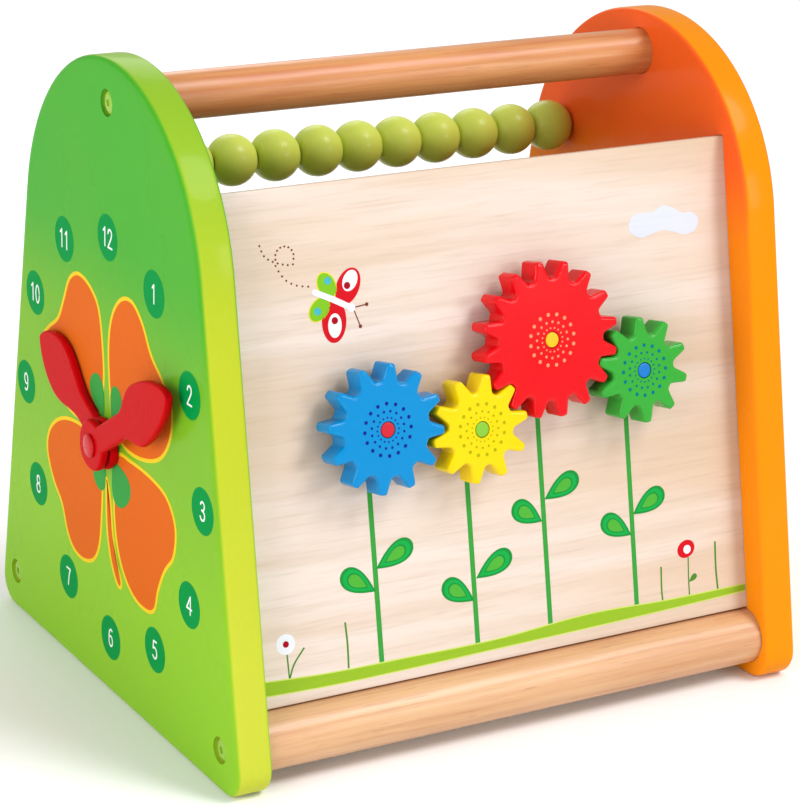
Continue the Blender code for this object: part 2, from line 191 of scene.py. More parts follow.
def varnishedWood(name, light, dark):
    # Grain runs along X: broad bands, fibres and short dark pores under clear varnish.
    made, tree, spot = startMaterial(name, 0.4, 0.3)
    bands = noise(tree, spot, 70, 5, stretch=(0.05, 1, 1), roughness=0.6)
    fibres = noise(tree, spot, 420, 5, stretch=(0.03, 1, 1), roughness=0.65)
    pores = noise(tree, spot, 900, 2, stretch=(0.07, 1, 1))
    drift = noise(tree, spot, 12, 2)
    tone = tint(tree, light, bands, 0.9, 0.32, 0.72, dark, smooth=True)
    tone = tint(tree, tone, fibres, 0.45, 0.45, 0.75, shade(dark, 0.85))
    tone = tint(tree, tone, pores, 0.30, 0.64, 0.74, shade(dark, 0.5))
    tone = tint(tree, tone, drift, 0.25, 0.4, 0.7, shade(light, 1.12))
    gloss = spread(tree, fibres, 0.26, 0.42, 0.3, 0.7)
    return finishMaterial(made, tone, gloss, [(fibres, 0.30, 0.00006), (pores, 0.20, 0.00004)])


def plywood(name, light, dark, glue, outward, foot):
    # A pale face veneer with its grain across the toy; the cut edges show the plies and their glue lines.
    made, tree, spot = startMaterial(name, 0.12, 0.25)
    sway = addNode(tree, "CombineXYZ", {2: spread(tree, noise(tree, spot, 2.2, 2), -0.02, 0.02)})
    bent = addNode(tree, "VectorMath", {0: spot, 1: sway.outputs[0]}, operation="ADD").outputs[0]
    bands = noise(tree, bent, 26, 5, stretch=(0.10, 1, 1), roughness=0.55)
    streaks = noise(tree, bent, 110, 5, stretch=(0.035, 1, 1), roughness=0.6)
    fibres = noise(tree, spot, 700, 3, stretch=(0.05, 1, 1))
    axes = addNode(tree, "SeparateXYZ", {0: spot}).outputs
    # towards the orange board (+X) the tone warms in the grain's bands: painted warm light thrown back by the
    # orange board
    warm = spread(tree, axes[0], 0.0, 0.7, 0.0, 0.13, smooth=True)
    warmth = combine(tree, "MULTIPLY", warm, spread(tree, bands, 0.0, 1.0, 0.3, 0.6))
    tone = tint(tree, light, bands, 0.75, 0.36, 0.74, dark, smooth=True)
    tone = blendColour(tree, warmth, tone, dark)
    tone = tint(tree, tone, streaks, 0.55, 0.46, 0.78, shade(dark, 0.88))
    tone = tint(tree, tone, fibres, 0.34, 0.5, 0.8, shade(dark, 0.75))
    # three plies, counted from the inner face along the panel's own normal, with glue where they meet
    normal = (0.0, -outward * cos(lean), sin(lean))
    outerFace = normal[1] * foot[1] + normal[2] * foot[2]
    along = addNode(tree, "VectorMath", {0: spot, 1: normal}, operation="DOT_PRODUCT").outputs["Value"]
    plies = spread(tree, along, 3.0, 0.0, outerFace - panelThickness, outerFace)
    line = spread(tree, combine(tree, "PINGPONG", plies, 1.0), 1.0, 0.0, 0.02, 0.12, smooth=True)
    inside = spread(tree, plies, 0.0, 1.0, 0.16, 0.24)
    below = spread(tree, plies, 1.0, 0.0, 2.76, 2.84)
    core = combine(tree, "MULTIPLY", inside, below)
    tone = blendColour(tree, combine(tree, "MULTIPLY", core, 0.35), tone, dark)
    tone = blendColour(tree, combine(tree, "MULTIPLY", core, line), tone, glue)
    gloss = spread(tree, streaks, 0.36, 0.52, 0.3, 0.7)
    return finishMaterial(made, tone, gloss, [(streaks, 0.18, 0.00008), (fibres, 0.22, 0.00004)])


def ink(name, colour):
    # Screen-printed ink: even colour that lets a little of the grain below through.
    made, tree, spot = startMaterial(name, 0.0, 0.2, ior=1.08)
    fibres = noise(tree, spot, 500, 3, stretch=(0.08, 1, 1))
    grains = noise(tree, spot, 1500, 2)
    tone = tint(tree, colour, fibres, 0.14, 0.45, 0.8, shade(colour, 0.7))
    gloss = spread(tree, grains, 0.357, 0.504)
    return finishMaterial(made, tone, gloss, [(fibres, 0.2, 0.00003), (grains, 0.15, 0.00001)])


def plastic(name, colour, roughness=0.34):
    # Moulded plastic: fine spark-erosion texture and faint scuffs.
    made, tree, spot = startMaterial(name, 0.05, 0.2)
    texture = noise(tree, spot, 1300, 3)
    scuffs = noise(tree, spot, 160, 4, stretch=(1, 0.2, 1))
    tone = tint(tree, colour, scuffs, 0.15, 0.5, 0.8, shade(colour, 0.8))
    gloss = spread(tree, scuffs, roughness * 0.8, roughness * 1.3)
    return finishMaterial(made, tone, gloss, [(texture, 0.3, 0.00002)])


def drawnSteel(name, colour):
    # Drawn rod: fine lines along X and a soft haze.
    made, tree, spot = startMaterial(name, metallic=1.0)
    lines = noise(tree, spot, 1400, 3, stretch=(0.02, 1, 1))
    haze = noise(tree, spot, 90, 3)
    tone = blendColour(tree, haze, shade(colour, 0.85), colour)
    return finishMaterial(made, tone, spread(tree, haze, 0.22, 0.38), [(lines, 0.35, 0.00002)])


# Surfaces.

def shellParts(rows, closed):
    # rows[i, j] is point j of ring i. Rings join in order; open ends close on the middle of their last ring.
    count, around = rows.shape[:2]
    points = rows.reshape(-1, 3)
    i = np.arange(count if closed else count - 1)[:, None]
    j = np.arange(around)[None, :]
    nextRow, nextPoint = (i + 1) % count, (j + 1) % around
    corners = [i * around + j, i * around + nextPoint, nextRow * around + nextPoint, nextRow * around + j]
    quads = np.stack([np.broadcast_to(c, (i.size, around)) for c in corners], axis=-1).reshape(-1, 4)
    triangles = np.zeros((0, 3), int)
    if not closed:
        first, last = len(points), len(points) + 1
        points = np.vstack([points, rows[0].mean(0), rows[-1].mean(0)])
        ring = np.arange(around)
        following = (ring + 1) % around
        start = np.stack([np.full(around, first), following, ring], axis=1)
        base = (count - 1) * around
        end = np.stack([np.full(around, last), base + ring, base + following], axis=1)
        triangles = np.vstack([start, end])
    halves = np.vstack([quads[:, [0, 1, 2]], quads[:, [0, 2, 3]], triangles])
    corner = points[halves] - points.mean(0)
    if np.einsum("ij,ij->i", corner[:, 0], np.cross(corner[:, 1], corner[:, 2])).sum() < 0:
        quads, triangles = quads[:, ::-1], triangles[:, ::-1]
    return points, quads, triangles


def makePiece(name, shells, body, materials, nodes=(), sharp=38):
    # shells are (rows, closed, material number); all of them become one mesh that rides on a body
    allPoints, faces, numbers, start = [], [], [], 0
    for rows, closed, number in shells:
        points, quads, triangles = shellParts(rows, closed)
        allPoints.append(points)
        faces += (quads + start).tolist() + (triangles + start).tolist()
        numbers += [number] * (len(quads) + len(triangles))
        start += len(points)
    mesh = bpy.data.meshes.new(name)
    mesh.from_pydata(np.vstack(allPoints).tolist(), [], faces)
    for material in materials:
        mesh.materials.append(material)
    mesh.polygons.foreach_set("material_index", numbers)
    return addPiece(name, mesh, body, nodes, sharp)


def addPiece(name, mesh, body, nodes, sharp):
    mesh.shade_smooth()
    mesh.set_sharp_from_angle(angle=radians(sharp))
    piece = bpy.data.objects.new(name, mesh)
    bpy.context.scene.collection.objects.link(piece)
    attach(piece, body)
    if nodes:
        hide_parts(*nodes)
    return piece


def makeSingle(name, rows, body, material, node, closed=False, sharp=38):
    # one shell of one material, in place of one node
    return makePiece(name, [(rows, closed, 0)], body, [material], [node], sharp)


def place(rows, origin, across, up, outward):
    # rows in a face's own (across, up, outward) lengths, put in the toy's frame
    return np.asarray(origin) + rows @ np.array([across, up, outward], float)


def arcPoints(centre, radius, start, end, count):
    # equal steps of angle round a centre
    angle = np.linspace(start, end, count)
    return np.stack([centre[0] + radius * np.cos(angle), centre[1] + radius * np.sin(angle)], axis=1)


def evenOutline(points, count, ease=0.0):
    # The closed outline at equal steps of its length. Ease averages it along itself, with a bell curve's
    # weights of that width.
    loop = np.vstack([points, points[:1]])
    length = np.concatenate([[0], np.cumsum(np.linalg.norm(np.diff(loop, axis=0), axis=1))])
    steps = np.linspace(0, length[-1], count, endpoint=False)
    even = np.stack([np.interp(steps, length, loop[:, k]) for k in (0, 1)], axis=1)
    if ease:
        waves = np.fft.fftfreq(count, length[-1] / count)[:, None]
        even = np.fft.ifft(np.fft.fft(even, axis=0) * np.exp(-2 * (pi * waves * ease) ** 2), axis=0).real
    return even


def smoothLoop(points, count):
    # A closed curve through the points: cubic pieces, with the slope at a point along its neighbours' line.
    p = np.asarray(points, float)
    before, after, beyond = np.roll(p, 1, 0), np.roll(p, -1, 0), np.roll(p, -2, 0)
    t = np.linspace(0, 1, count, endpoint=False)[None, :, None]
    p, before, after, beyond = (a[:, None, :] for a in (p, before, after, beyond))
    bend = 2 * before - 5 * p + 4 * after - beyond
    twist = 3 * p - before - 3 * after + beyond
    return (p + 0.5 * t * (after - before + t * (bend + t * twist))).reshape(-1, 2)


def smoothPath(points, count=10):
    # The same curve through an open run of points, with straight ends.
    p = np.asarray(points, float)
    padded = np.vstack([2 * p[0] - p[1], p, 2 * p[-1] - p[-2]])
    curve = smoothLoop(padded, count)
    return curve[count:-2 * count + 1]


def insetOutline(outline, depth):
    # every point moves inwards, square to the line between its neighbours
    along = np.roll(outline, -1, 0) - np.roll(outline, 1, 0)
    along = along / np.linalg.norm(along, axis=1)[:, None]
    area = (outline[:, 0] * np.roll(outline[:, 1], -1) - np.roll(outline[:, 0], -1) * outline[:, 1]).sum()
    inward = np.stack([-along[:, 1], along[:, 0]], axis=1) * np.sign(area)
    return outline + inward * depth


def plateRows(outline, low, high, rounding, steps, bore=None, seat=None):
    # The outline carried from the low face to the high face. Round each edge it moves in by r(1 - sin t) as
    # it rises by r(1 - cos t). The flat faces shrink to their middle, or to a bore's circle, which may have
    # a wider seat.
    inner = insetOutline(outline, rounding)
    middle = inner.mean(0)
    spoke = (outline - middle) / np.linalg.norm(outline - middle, axis=1)[:, None]
    hub = middle if bore is None else bore * spoke
    mouth = middle if bore is None else (seat[0] if seat else bore) * spoke

    def ring(flat, height):
        return np.column_stack([flat, np.full(len(flat), height)])

    shares = [0.02, 0.3, 0.6, 0.85] if bore is None else [0.02, 0.3, 0.6, 0.99, 1.0]
    rows = [ring(inner + (hub - inner) * k, low) for k in shares[::-1]]
    for t in np.linspace(0, pi / 2, steps):
        rows.append(ring(insetOutline(outline, rounding * (1 - sin(t))), low + rounding * (1 - cos(t))))
    for t in np.linspace(pi / 2, 0, steps):
        rows.append(ring(insetOutline(outline, rounding * (1 - sin(t))), high - rounding * (1 - cos(t))))
    rows += [ring(inner + (mouth - inner) * k, high) for k in shares]
    if seat:
        rows += [ring(mouth, seat[1]), ring(hub, seat[1])]
    return np.array(rows)


def turnedRows(profile, count):
    # each (radius, height) of the profile becomes a circle round the height axis
    angle = np.linspace(0, 2 * pi, count, endpoint=False)
    radius, height = np.array(profile, float).T
    circles = [radius[:, None] * np.cos(angle), radius[:, None] * np.sin(angle)]
    return np.stack([*circles, np.repeat(height[:, None], count, axis=1)], axis=-1)


def filmRows(outline, low, high):
    # a thin flat film: the outline at both heights, closed on its middle
    return plateRows(outline, low, high, 0.02 * mm, steps=2)


def ribbonRows(path, widths, low, high):
    # A flat strip along a path: each station is a four-cornered section as wide as the strip there.
    path = np.asarray(path, float)
    along = np.gradient(path, axis=0)
    along = along / np.linalg.norm(along, axis=1)[:, None]
    side = np.stack([-along[:, 1], along[:, 0]], axis=1) * (np.broadcast_to(widths, len(path)) / 2)[:, None]
    rows = []
    for sign, height in ((-1, low), (1, low), (1, high), (-1, high)):
        rows.append(np.column_stack([path + sign * side, np.full(len(path), height)]))
    return np.stack(rows, axis=1)


def disc(centre, radius, count=14, squash=1.0, turn=0.0):
    # an ellipse: a circle that is flattened across and then turned
    circle = arcPoints((0, 0), radius, 0, 2 * pi * (1 - 1 / count), count) * (1, squash)
    spin = np.array([[cos(turn), sin(turn)], [-sin(turn), cos(turn)]])
    return circle @ spin + np.asarray(centre)


def cutPiece(piece, cutters):
    # cuts the cutters' shapes out of the piece and keeps the result as its mesh
    for rows, closed in cutters:
        points, quads, triangles = shellParts(rows, closed)
        mesh = bpy.data.meshes.new("cutter")
        mesh.from_pydata(points.tolist(), [], quads.tolist() + triangles.tolist())
        cutter = bpy.data.objects.new("cutter", mesh)
        bpy.context.scene.collection.objects.link(cutter)
        hole = piece.modifiers.new("hole", "BOOLEAN")
        hole.object = cutter
        graph = bpy.context.evaluated_depsgraph_get()
        finished = bpy.data.meshes.new_from_object(piece.evaluated_get(graph))
        piece.modifiers.clear()
        piece.data = finished
        bpy.data.objects.remove(cutter)
    piece.data.shade_smooth()
    piece.data.set_sharp_from_angle(angle=radians(38))


print("frame and helpers ready")

# Where the pieces are, read from the frame.

greenLow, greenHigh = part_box("green_side_board")
orangeLow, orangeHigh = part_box("orange_side_board")
leftFace, leftWall = greenLow.x, greenHigh.x
rightWall, rightFace = orangeLow.x, orangeHigh.x
middleX = (leftFace + rightFace) / 2
outsideLeft = dict(across=(0, -1, 0), up=(0, 0, 1), outward=(-1, 0, 0))
outsideRight = dict(across=(0, 1, 0), up=(0, 0, 1), outward=(1, 0, 0))

# The gears' axes stand square on the front panel.
gearAxis = np.array(spins["red_gear_spin"]["axis"], float)
lean = float(np.arcsin(gearAxis[2]))
upSlope = np.array([0.0, sin(lean), cos(lean)])
panelThickness = 5 * mm
onFace = np.array(spins["red_gear_spin"]["pos_m"], float)
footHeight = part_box("front_panel")[0].z + 0.9 * panelThickness * sin(lean)
panelFoot = onFace + upSlope * (footHeight - onFace[2]) / upSlope[2]
panelFoot[0] = middleX
onPanel = dict(origin=panelFoot, across=(1, 0, 0), up=upSlope, outward=gearAxis)
rearFoot = panelFoot * (1, -1, 1)
onRearPanel = dict(origin=rearFoot, across=(-1, 0, 0), up=upSlope * (1, -1, 1), outward=gearAxis * (1, -1, 1))


def nodeCentre(node):
    low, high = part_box(node)
    return np.array((low + high) / 2)


def halfSizes(node):
    # half of a piece's length along X, and half of its height: the radius of a bar, a rod or a bead
    low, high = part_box(node)
    return (high.x - low.x) / 2, (high.z - low.z) / 2


# Side boards.

sideBoards = {
    "foot corner": 135 * mm,  # half the depth where the leaning sides would meet the floor
    "top radius": 95 * mm,
    "foot radius": 13 * mm,
    "edge rounding": 2.4 * mm,
    "screw recess": (6.2 * mm, 3 * mm),  # radius, depth
    "screw hole": 2.4 * mm,
    "bar socket": 8 * mm,
    "rod socket": (3.2 * mm, 5.2 * mm),  # radius, depth
    "clock pin hole": 3.3 * mm,
    # green faces: deeper green towards the top; the lowest stop is also made lighter, painted light against the
    # shade that falls near the floor
    "green faces": [paint(140, 200, 40), paint(122, 186, 36), paint(58, 172, 42)],
    "green face heights": [60 * mm, 150 * mm, 225 * mm],
    # lime edges: greener towards the crown, partly the paint's own change and partly painted light and shade of
    # the curved edge
    "lime edges": [paint(202, 210, 62), paint(190, 202, 46), paint(142, 190, 46)],
    "lime edge heights": [20 * mm, 180 * mm, 300 * mm],
    # orange board's faces: the deep red-orange top stop is painted shade, for the inner face above the panel
    # that lies in shadow
    "orange board faces with painted shade": [paint(262, 152, 20), paint(258, 142, 20), paint(266, 100, 38)],
    "orange face heights": [60 * mm, 200 * mm, 250 * mm],
    "amber edges": [paint(246, 148, 8), paint(246, 146, 8), paint(246, 146, 12)],
}


def boardOutline(height):
    # A base line, a round foot, a leaning side, the round top, and the same again. The arcs touch the
    # straight lines.
    half, top, foot = (sideBoards[k] for k in ("foot corner", "top radius", "foot radius"))
    peak = height - top
    tilt = np.arctan2(half, peak) - np.arcsin(top / np.hypot(half, peak))
    footX = half - foot * (1 + sin(tilt)) / cos(tilt)
    right = arcPoints((footX, foot), foot, -pi / 2, tilt, 24)
    crown = arcPoints((0, peak), top, tilt, pi - tilt, 140)
    left = arcPoints((-footX, foot), foot, pi - tilt, 1.5 * pi, 24)
    return evenOutline(np.vstack([right, crown, left]), 420)


def cylinderCutter(centre, radius, low, high, side, count=48):
    rows = turnedRows([(radius, low), (radius, high)], count)
    return place(rows, centre, **side), False


def makeBoard(name, node, face, side, material, wall):
    thickness = abs(wall - face)
    outline = boardOutline(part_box(node)[1].z)
    rows = plateRows(outline, -thickness, 0, sideBoards["edge rounding"], steps=7)
    board = makeSingle(name, place(rows, (face, 0, 0), **side), "frame", material, node)
    cutters = []
    recessRadius, recessDepth = sideBoards["screw recess"]
    socketRadius, socketDepth = sideBoards["rod socket"]
    past, inner = 5 * mm, -thickness  # a cutter runs on past the face that it opens
    for bar in ("handle_bar", "front_foot_bar", "rear_foot_bar"):
        centre = (face, *nodeCentre(bar)[1:])
        radius = halfSizes(bar)[1] + 0.25 * mm
        cutters.append(cylinderCutter(centre, radius, inner - past, inner + sideBoards["bar socket"], side))
        cutters.append(cylinderCutter(centre, recessRadius, -recessDepth, past, side))
        cutters.append(cylinderCutter(centre, sideBoards["screw hole"], inner - 3 * mm, 3 * mm, side, 24))
    rodCentre = (face, *nodeCentre("bead_rod")[1:])
    cutters.append(cylinderCutter(rodCentre, socketRadius, inner - past, inner + socketDepth, side))
    if node == "green_side_board":
        clockCentre = (face, *spins["hour_hand_spin"]["pos_m"][1:])
        cutters.append(cylinderCutter(clockCentre, sideBoards["clock pin hole"], inner - past, past, side))
    cutPiece(board, cutters)
    for groove in (frontPanel, rearPanel):
        cutPiece(board, [panelCutter(groove)])
    return board


# Panels.

frontPanel = {"place": onPanel, "rise": 227 * mm, "node": "front_panel"}
rearPanel = {"place": onRearPanel, "rise": 157 * mm, "node": "rear_panel"}


def roundedBox(width, low, high, radius):
    # a rectangle whose corners are quarter circles
    half = width / 2 - radius
    corners = [(half, low + radius), (half, high - radius), (-half, high - radius), (-half, low + radius)]
    return np.vstack([
        arcPoints(corner, radius, (k - 1) * pi / 2, k * pi / 2, 6) for k, corner in enumerate(corners)
    ])


def panelCutter(panel):
    grown = 0.25 * mm
    width = 2 * halfSizes(panel["node"])[0] + 2 * grown
    outline = roundedBox(width, -grown, panel["rise"] + grown, 0.4 * mm)
    rows = plateRows(outline, -panelThickness - grown, grown, 0.2 * mm, steps=2)
    return place(rows, **panel["place"]), False


def makePanel(name, panel, material):
    outline = roundedBox(2 * halfSizes(panel["node"])[0], 0, panel["rise"], 0.6 * mm)
    rows = plateRows(outline, -panelThickness, 0, 0.5 * mm, steps=4)
    return makeSingle(name, place(rows, **panel["place"]), "frame", material, panel["node"])


plyLight, plyDark, plyGlue = paint(238, 222, 211), paint(222, 192, 162), paint(168, 118, 80)
frontPly = plywood("birch ply, front", plyLight, plyDark, plyGlue, 1, panelFoot)
rearPly = plywood("birch ply, rear", plyLight, plyDark, plyGlue, -1, rearFoot)
frontBoard = makePanel("frontPanel", frontPanel, frontPly)
makePanel("rearPanel", rearPanel, rearPly)
print("panels made")

greenPaint = twoToneLacquer(
    "green and lime lacquer", sideBoards["green faces"], sideBoards["lime edges"],
    sideBoards["green face heights"], sideBoards["lime edge heights"], leftFace, leftWall
)
orangePaint = twoToneLacquer(
    "orange and amber lacquer", sideBoards["orange board faces with painted shade"], sideBoards["amber edges"],
    sideBoards["orange face heights"], sideBoards["lime edge heights"], rightWall, rightFace
)
makeBoard("greenBoard", "green_side_board", leftFace, outsideLeft, greenPaint, leftWall)
makeBoard("orangeBoard", "orange_side_board", rightFace, outsideRight, orangePaint, rightWall)
print("side boards made")


# Round bars, rod and screws.

bars = {
    "foot wood": (paint(228, 182, 136), paint(194, 118, 70)),
    # the handle's beech is a deeper orange than the feet's: a painted orange reflection on the same wood
    "handle beech, painted orange reflection": (paint(232, 166, 104), paint(192, 92, 42)),
    "end easing": 0.8 * mm,
}
screws = {
    "head radius": 5.3 * mm,
    "head height": 2 * mm,
    "shank radius": 2 * mm,
    "drive radius": 1.7 * mm,
    "left paint": paint(150, 196, 56),
    "right paint": paint(238, 138, 24),
}
footWood = varnishedWood("varnished beech", *bars["foot wood"])
# a copy of the beech with a painted orange reflection, for the handle
handleWoodPaintedReflection = varnishedWood("varnished beech with painted reflection", *bars["handle beech, painted orange reflection"])
rodSteel = drawnSteel("drawn steel", paint(190, 190, 188))
alongX = dict(across=(0, 1, 0), up=(0, 0, 1), outward=(1, 0, 0))


roundBars = [
    ("handle_bar", "handleBar", handleWoodPaintedReflection),
    ("front_foot_bar", "frontFootBar", footWood),
    ("rear_foot_bar", "rearFootBar", footWood),
]
for node, name, wood in roundBars:
    (end, radius), ease = halfSizes(node), bars["end easing"]
    pilot, pilotEnd = 2.3 * mm, end - 22 * mm
    corner = arcPoints((end - ease, radius - ease), ease, 0, pi / 2, 5)[:, ::-1]
    half = [(0.01 * mm, pilotEnd), (pilot, pilotEnd), (pilot, end), *corner.tolist()]
    half += [(radius, end * share) for share in (0.95, 0.6, 0.3)]
    profile = half + [(r, -h) for r, h in reversed(half)]
    rows = place(turnedRows(profile, 72), nodeCentre(node), **alongX)
    makeSingle(name, rows, "frame", wood, node)

end, radius = halfSizes("bead_rod")
ease = 0.3 * mm
profile = [(radius - ease, -end), (radius, ease - end), (radius, end - ease), (radius - ease, end)]
rows = place(turnedRows(profile, 32), nodeCentre("bead_rod"), **alongX)
makeSingle("beadRod", rows, "frame", rodSteel, "bead_rod")


def screwProfile():
    # a low dome with a round drive hole, a straight shank and a pointed tip
    radius, height = screws["head radius"], screws["head height"]
    drive, shank = screws["drive radius"], screws["shank radius"]
    seat = -sideBoards["screw recess"][1] + 0.3 * mm
    angle = np.linspace(0.15, pi / 2, 9)
    dome = [(drive + (radius - drive) * sin(a), seat + height * (0.45 + 0.55 * cos(a))) for a in angle]
    floor = seat + 0.5 * height
    hole = [(0.05 * mm, floor), (drive * 0.9, floor), (drive, seat + 0.97 * height)]
    tip = seat - 34 * mm
    return hole + dome + [(radius, seat), (shank, seat), (shank, tip + 4 * mm), (0.05 * mm, tip)]


screwPaints = {
    "left": lacquer("green screw lacquer", screws["left paint"], mottle=0.03, grain=0.05),
    "right": lacquer("orange screw lacquer", screws["right paint"], mottle=0.03, grain=0.05),
}
for bar, barName, _ in roundBars:
    for end, side, face in (("left", outsideLeft, leftFace), ("right", outsideRight, rightFace)):
        rows = place(turnedRows(screwProfile(), 40), (face, *nodeCentre(bar)[1:]), **side)
        name = barName.removesuffix("Bar") + "Screw" + end.title()
        makeSingle(name, rows, "frame", screwPaints[end], f"{bar}_{end}_screw")
print("bars, rod and screws made")


# Beads.

beads = {"bore": 3.6 * mm, "end easing": 0.9 * mm, "colour": paint(216, 230, 96)}
beadPaint = lacquer("olive bead lacquer", beads["colour"], mottle=0.10, grain=0.5, roughness=0.36, coat=0.08)


def beadProfile(half, radius):
    # a ball cut off square at both ends, with the cut's edge and the bore's edge rounded
    widest, ease, bore = np.arcsin(half / radius), beads["end easing"], beads["bore"]
    angle = np.linspace(-widest + 0.09, widest - 0.09, 30)
    ball = np.stack([radius * np.cos(angle), radius * np.sin(angle)], axis=1)
    flat = radius * cos(widest) - ease
    mouth = [(bore, 0.4 * mm - half), (bore + 0.4 * mm, -half)]
    lowEnd = mouth + [(flat, -half), (flat + 0.6 * ease, 0.08 * mm - half)]
    return lowEnd + ball.tolist() + [(r, -h) for r, h in reversed(lowEnd)]


for number in range(1, 11):
    node = f"bead_{number:02d}"
    rows = place(turnedRows(beadProfile(*halfSizes(node)), 64), nodeCentre(node), **alongX)
    makeSingle(f"bead{number:02d}", rows, node, beadPaint, node, closed=True)
print("beads made")


# Gears.

gears = {
    "red": dict(
        teeth=16, tip=35.4, root=28.0, turn=6.8,
        ground=(232, 12, 22), dots=(250, 150, 110), eye=(255, 192, 16),
    ),
    "yellow": dict(
        teeth=10, tip=24.2, root=16.8, turn=7.5,
        ground=(250, 216, 0), dots=(178, 176, 10), eye=(134, 196, 52),
    ),
    "green": dict(
        teeth=10, tip=24.2, root=16.8, turn=20.0,
        ground=(56, 170, 56), dots=(0, 120, 130), eye=(0, 120, 200),
    ),
    "blue": dict(
        teeth=12, tip=28.8, root=21.6, turn=21.5,
        ground=(0, 140, 206), dots=(24, 40, 140), eye=(206, 26, 44),
    ),
}
gearShape = {
    "back": 4 * mm,
    "front": 17 * mm,
    "rounding": 1.4 * mm,
    "tooth tip": 1.85 * mm,
    "tooth base": 3.9 * mm,
    "corner ease": 0.75 * mm,
    "bore": 2.8 * mm,
    "seat": 3.8 * mm,
    "seat depth": 2.5 * mm,
    "dot rings": [(5.4 * mm, 0.44 * mm, 0.0), (8.2 * mm, 0.62 * mm, 0.5), (11.6 * mm, 0.88 * mm, 0.0)],
    "dots in a ring": 16,
}


def gearOutline(teeth, tip, root, turn):
    # Straight-flanked teeth, narrower at the tip, on a root circle. Then all corners are eased.
    pitch = 2 * pi / teeth
    tipAngle = gearShape["tooth tip"] / tip
    baseAngle = gearShape["tooth base"] / root
    stretch = 0.4 * mm  # easing shortens the teeth by about this much
    local = np.concatenate([
        np.linspace(-tipAngle, tipAngle, 5), [baseAngle], np.linspace(baseAngle, pitch - baseAngle, 6)[1:]
    ])
    radius = np.concatenate([np.full(5, tip + stretch), np.full(6, root)])
    angle = (np.arange(teeth)[:, None] * pitch + local[None, :]).ravel() + turn
    radius = np.tile(radius, teeth)
    corners = np.stack([radius * np.cos(angle), radius * np.sin(angle)], axis=1)
    return evenOutline(corners, teeth * 36, gearShape["corner ease"])


def makeGear(colour, size):
    spin = spins[f"{colour}_gear_spin"]
    spot = dict(onPanel, origin=np.array(spin["pos_m"], float))
    outline = gearOutline(size["teeth"], size["tip"] * mm, size["root"] * mm, radians(size["turn"]))
    seatFloor = gearShape["front"] - gearShape["seat depth"]
    rows = plateRows(
        outline, gearShape["back"], gearShape["front"], gearShape["rounding"],
        bore=gearShape["bore"], seat=(gearShape["seat"], seatFloor), steps=7
    )
    ground = lacquer(
        f"{colour} gear lacquer", paint(*size["ground"]),
        mottle=0.03, grain=0.1, roughness=0.2, coat=0.25, ior=1.2
    )
    node = f"{colour}_gear"
    makeSingle(f"{colour}Gear", place(rows, **spot), node, ground, node, closed=True, sharp=50)
    dotInk = ink(f"{colour} gear dot ink", paint(*size["dots"]))
    shells = []
    for ringRadius, dotRadius, shift in gearShape["dot rings"]:
        steps = (np.arange(gearShape["dots in a ring"]) + shift) * 2 * pi / gearShape["dots in a ring"]
        for angle in steps + radians(size["turn"]):
            outline = disc((ringRadius * cos(angle), ringRadius * sin(angle)), dotRadius)
            film = filmRows(outline, gearShape["front"] - 0.05 * mm, gearShape["front"] + 0.04 * mm)
            shells.append((place(film, **spot), False, 0))
    makePiece(f"{colour}GearDots", shells, node, [dotInk])
    return spot


pins = {
    "head": 3.45 * mm,
    "head height": 2.2 * mm,
    "shank": 2.5 * mm,
    "ring": (6.5 * mm, 2.8 * mm),  # outer and inner radius of the spacer and the retainer
    "retainer height": 4 * mm,
    "gap": 0.3 * mm,
}
ringPlastic = plastic("white ring plastic", paint(232, 232, 226))


def makeRing(name, node, spot, radius, bore, low, high):
    ease = min(0.5 * mm, 0.3 * (high - low))
    profile = [
        (bore, low + ease), (bore + ease, low), (radius - ease, low), (radius, low + ease),
        (radius, high - ease), (radius - ease, high), (bore + ease, high), (bore, high - ease),
    ]
    rows = place(turnedRows(profile, 48), **spot)
    makeSingle(name, rows, "frame", ringPlastic, node, closed=True)


for colour, size in gears.items():
    spot = makeGear(colour, size)
    front, head, height, shank = gearShape["front"], pins["head"], pins["head height"], pins["shank"]
    gap, (ring, bore) = pins["gap"], pins["ring"]
    top = -panelThickness - gap
    back = top - pins["retainer height"]
    arc = arcPoints((head - 0.4 * mm, front - 0.4 * mm), 0.4 * mm, pi / 2, 0, 5)
    crown = [(0.05 * mm, front), (0.6 * head, front), *arc.tolist()]
    below = [(head, front - height), (shank, front - height), (shank, back - 0.7 * mm)]
    profile = crown + below + [(shank - 0.3 * mm, back - mm)]
    eye = plastic(f"{colour} gear eye", paint(*size["eye"]), roughness=0.3)
    rows = place(turnedRows(profile, 40), **spot)
    makeSingle(f"{colour}GearPin", rows, "frame", eye, f"{colour}_gear_pin")
    makeRing(f"{colour}GearSpacer", f"{colour}_gear_spacer", spot, ring, bore, gap, gearShape["back"] - gap)
    makeRing(f"{colour}GearRetainer", f"{colour}_gear_retainer", spot, ring, bore, back, top)
    hole = turnedRows([(shank + 0.2 * mm, -panelThickness - 2 * mm), (shank + 0.2 * mm, 2 * mm)], 32)
    cutPiece(frontBoard, [(place(hole, **spot), False)])
print("gears made")


# Clock hands and their pin.

